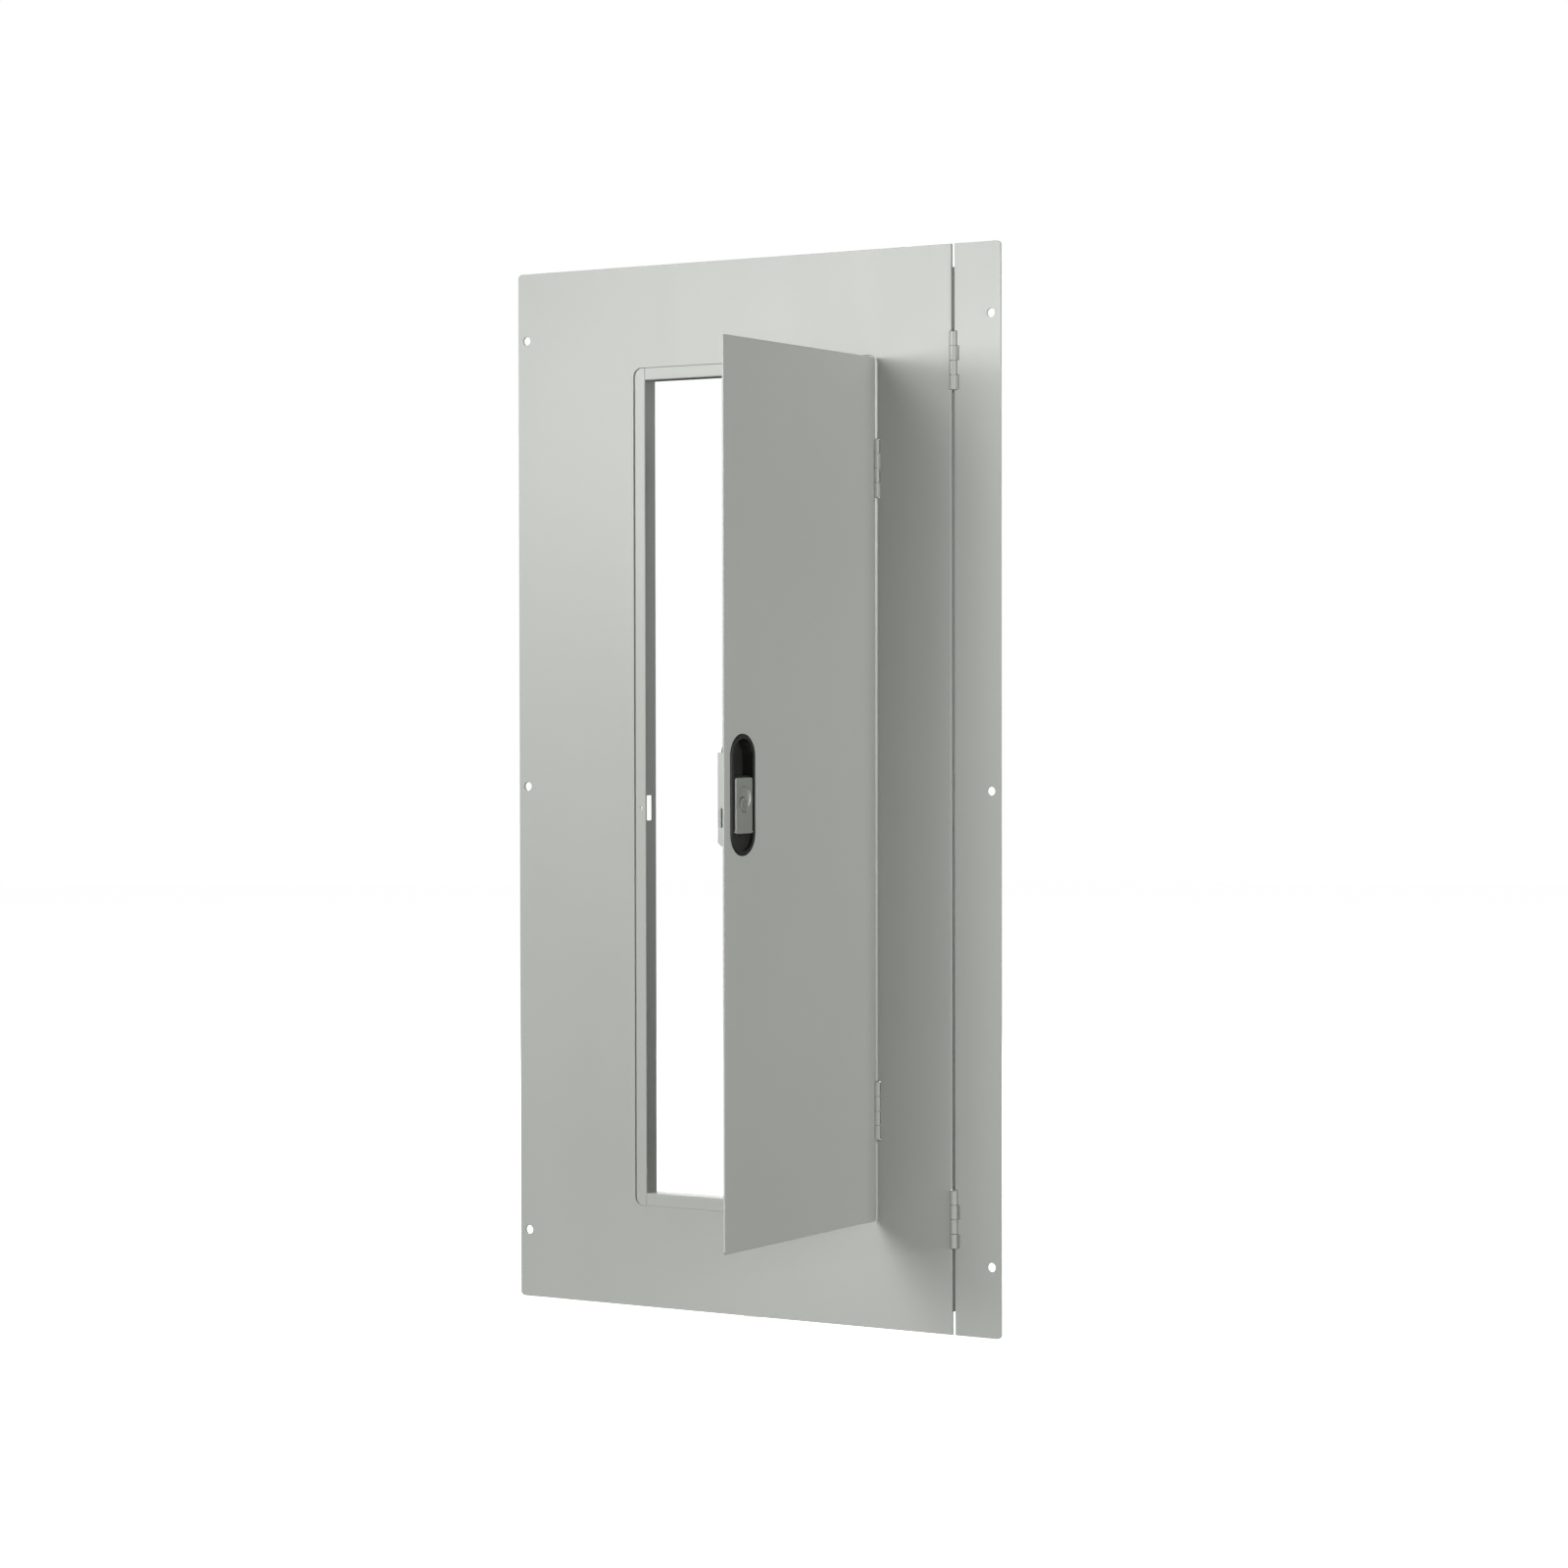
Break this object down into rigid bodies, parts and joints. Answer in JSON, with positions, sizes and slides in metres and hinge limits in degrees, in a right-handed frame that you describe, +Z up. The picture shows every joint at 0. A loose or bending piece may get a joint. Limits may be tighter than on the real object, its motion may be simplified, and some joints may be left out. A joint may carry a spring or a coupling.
{
  "type": "hinged panelboard front with inner door",
  "caption": "Steel electrical panel front: a trim plate hinged to a fixed side strip, with a hinged inner door, flush paddle latch and lock.",
  "frame": {"origin": "centre of the four corner screw holes, in the back face of the trim sheet", "axes": "+X right and +Z up as seen from the room, +Y into the wall; the inner door stands open at 90 degrees"},
  "size_m": [0.508, 0.2724, 0.9524],
  "materials": {
    "grey_paint": "semi-gloss light grey enamel on steel",
    "black_plastic": "fine matt",
    "satin_silver": "satin",
    "zinc_steel": "zinc plated",
    "clear_plastic": "smooth, translucent",
    "card": "uncoated"
  },
  "bodies": {
    "fixed_strip": {"side_strip": "grey_paint", "trim_hinge_upper_strip_leaf": "grey_paint", "trim_hinge_lower_strip_leaf": "grey_paint", "trim_hinge_upper_pin": "zinc_steel", "trim_hinge_lower_pin": "zinc_steel"},
    "trim": {"trim_plate": "grey_paint", "stile_left": "grey_paint", "stile_right": "grey_paint", "rail_top": "grey_paint", "rail_bottom": "grey_paint", "trim_hinge_upper_trim_leaf": "grey_paint", "trim_hinge_lower_trim_leaf": "grey_paint", "door_hinge_upper_trim_leaf": "grey_paint", "door_hinge_lower_trim_leaf": "grey_paint", "door_hinge_upper_pin": "zinc_steel", "door_hinge_lower_pin": "zinc_steel"},
    "door": {"door_panel": "grey_paint", "door_hinge_upper_door_leaf": "grey_paint", "door_hinge_lower_door_leaf": "grey_paint", "latch_bezel": "black_plastic", "paddle_pin": "zinc_steel", "latch_case": "grey_paint", "case_studs": "zinc_steel", "case_nuts": "zinc_steel", "bezel_screws": "zinc_steel", "lock_cylinder": "satin_silver", "lock_nut": "zinc_steel", "bolt_spring": "zinc_steel", "directory_holder": "clear_plastic", "directory_card": "card"},
    "paddle": {"paddle": "satin_silver"},
    "bolt": {"latch_bolt": "zinc_steel"},
    "lock_plug": {"lock_plug": "satin_silver", "lock_cam": "zinc_steel", "cam_clip": "zinc_steel"}
  },
  "joints": [
    {"name": "trim_swing", "type": "hinge", "parent": "fixed_strip", "child": "trim", "pos_m": [0.2073, -0.0019, 0], "axis": [0, 0, 1], "range_deg": [0, 170]},
    {"name": "door_swing", "type": "hinge", "parent": "trim", "child": "door", "pos_m": [0.13, -0.0019, 0], "axis": [0, 0, 1], "range_deg": [-90, 45]},
    {"name": "paddle_lift", "type": "hinge", "parent": "door", "child": "paddle", "pos_m": [0.1305, -0.2269, -0.0309], "axis": [0, 1, 0], "range_deg": [0, 40]},
    {"name": "bolt_slide", "type": "slide", "parent": "door", "child": "bolt", "axis": [0, 1, 0], "range_m": [0, 0.0085], "stiffness_N_per_m": 30, "springref_m": -0.008, "deforming": ["bolt_spring"]},
    {"name": "lock_turn", "type": "hinge", "parent": "door", "child": "lock_plug", "pos_m": [0.13, -0.2269, -0.008], "axis": [1, 0, 0], "range_deg": [0, 90]}
  ],
  "couplings": [
    {"joint": "bolt_slide", "follows": "paddle_lift", "m_per_rad": 0.012175}
  ]
}
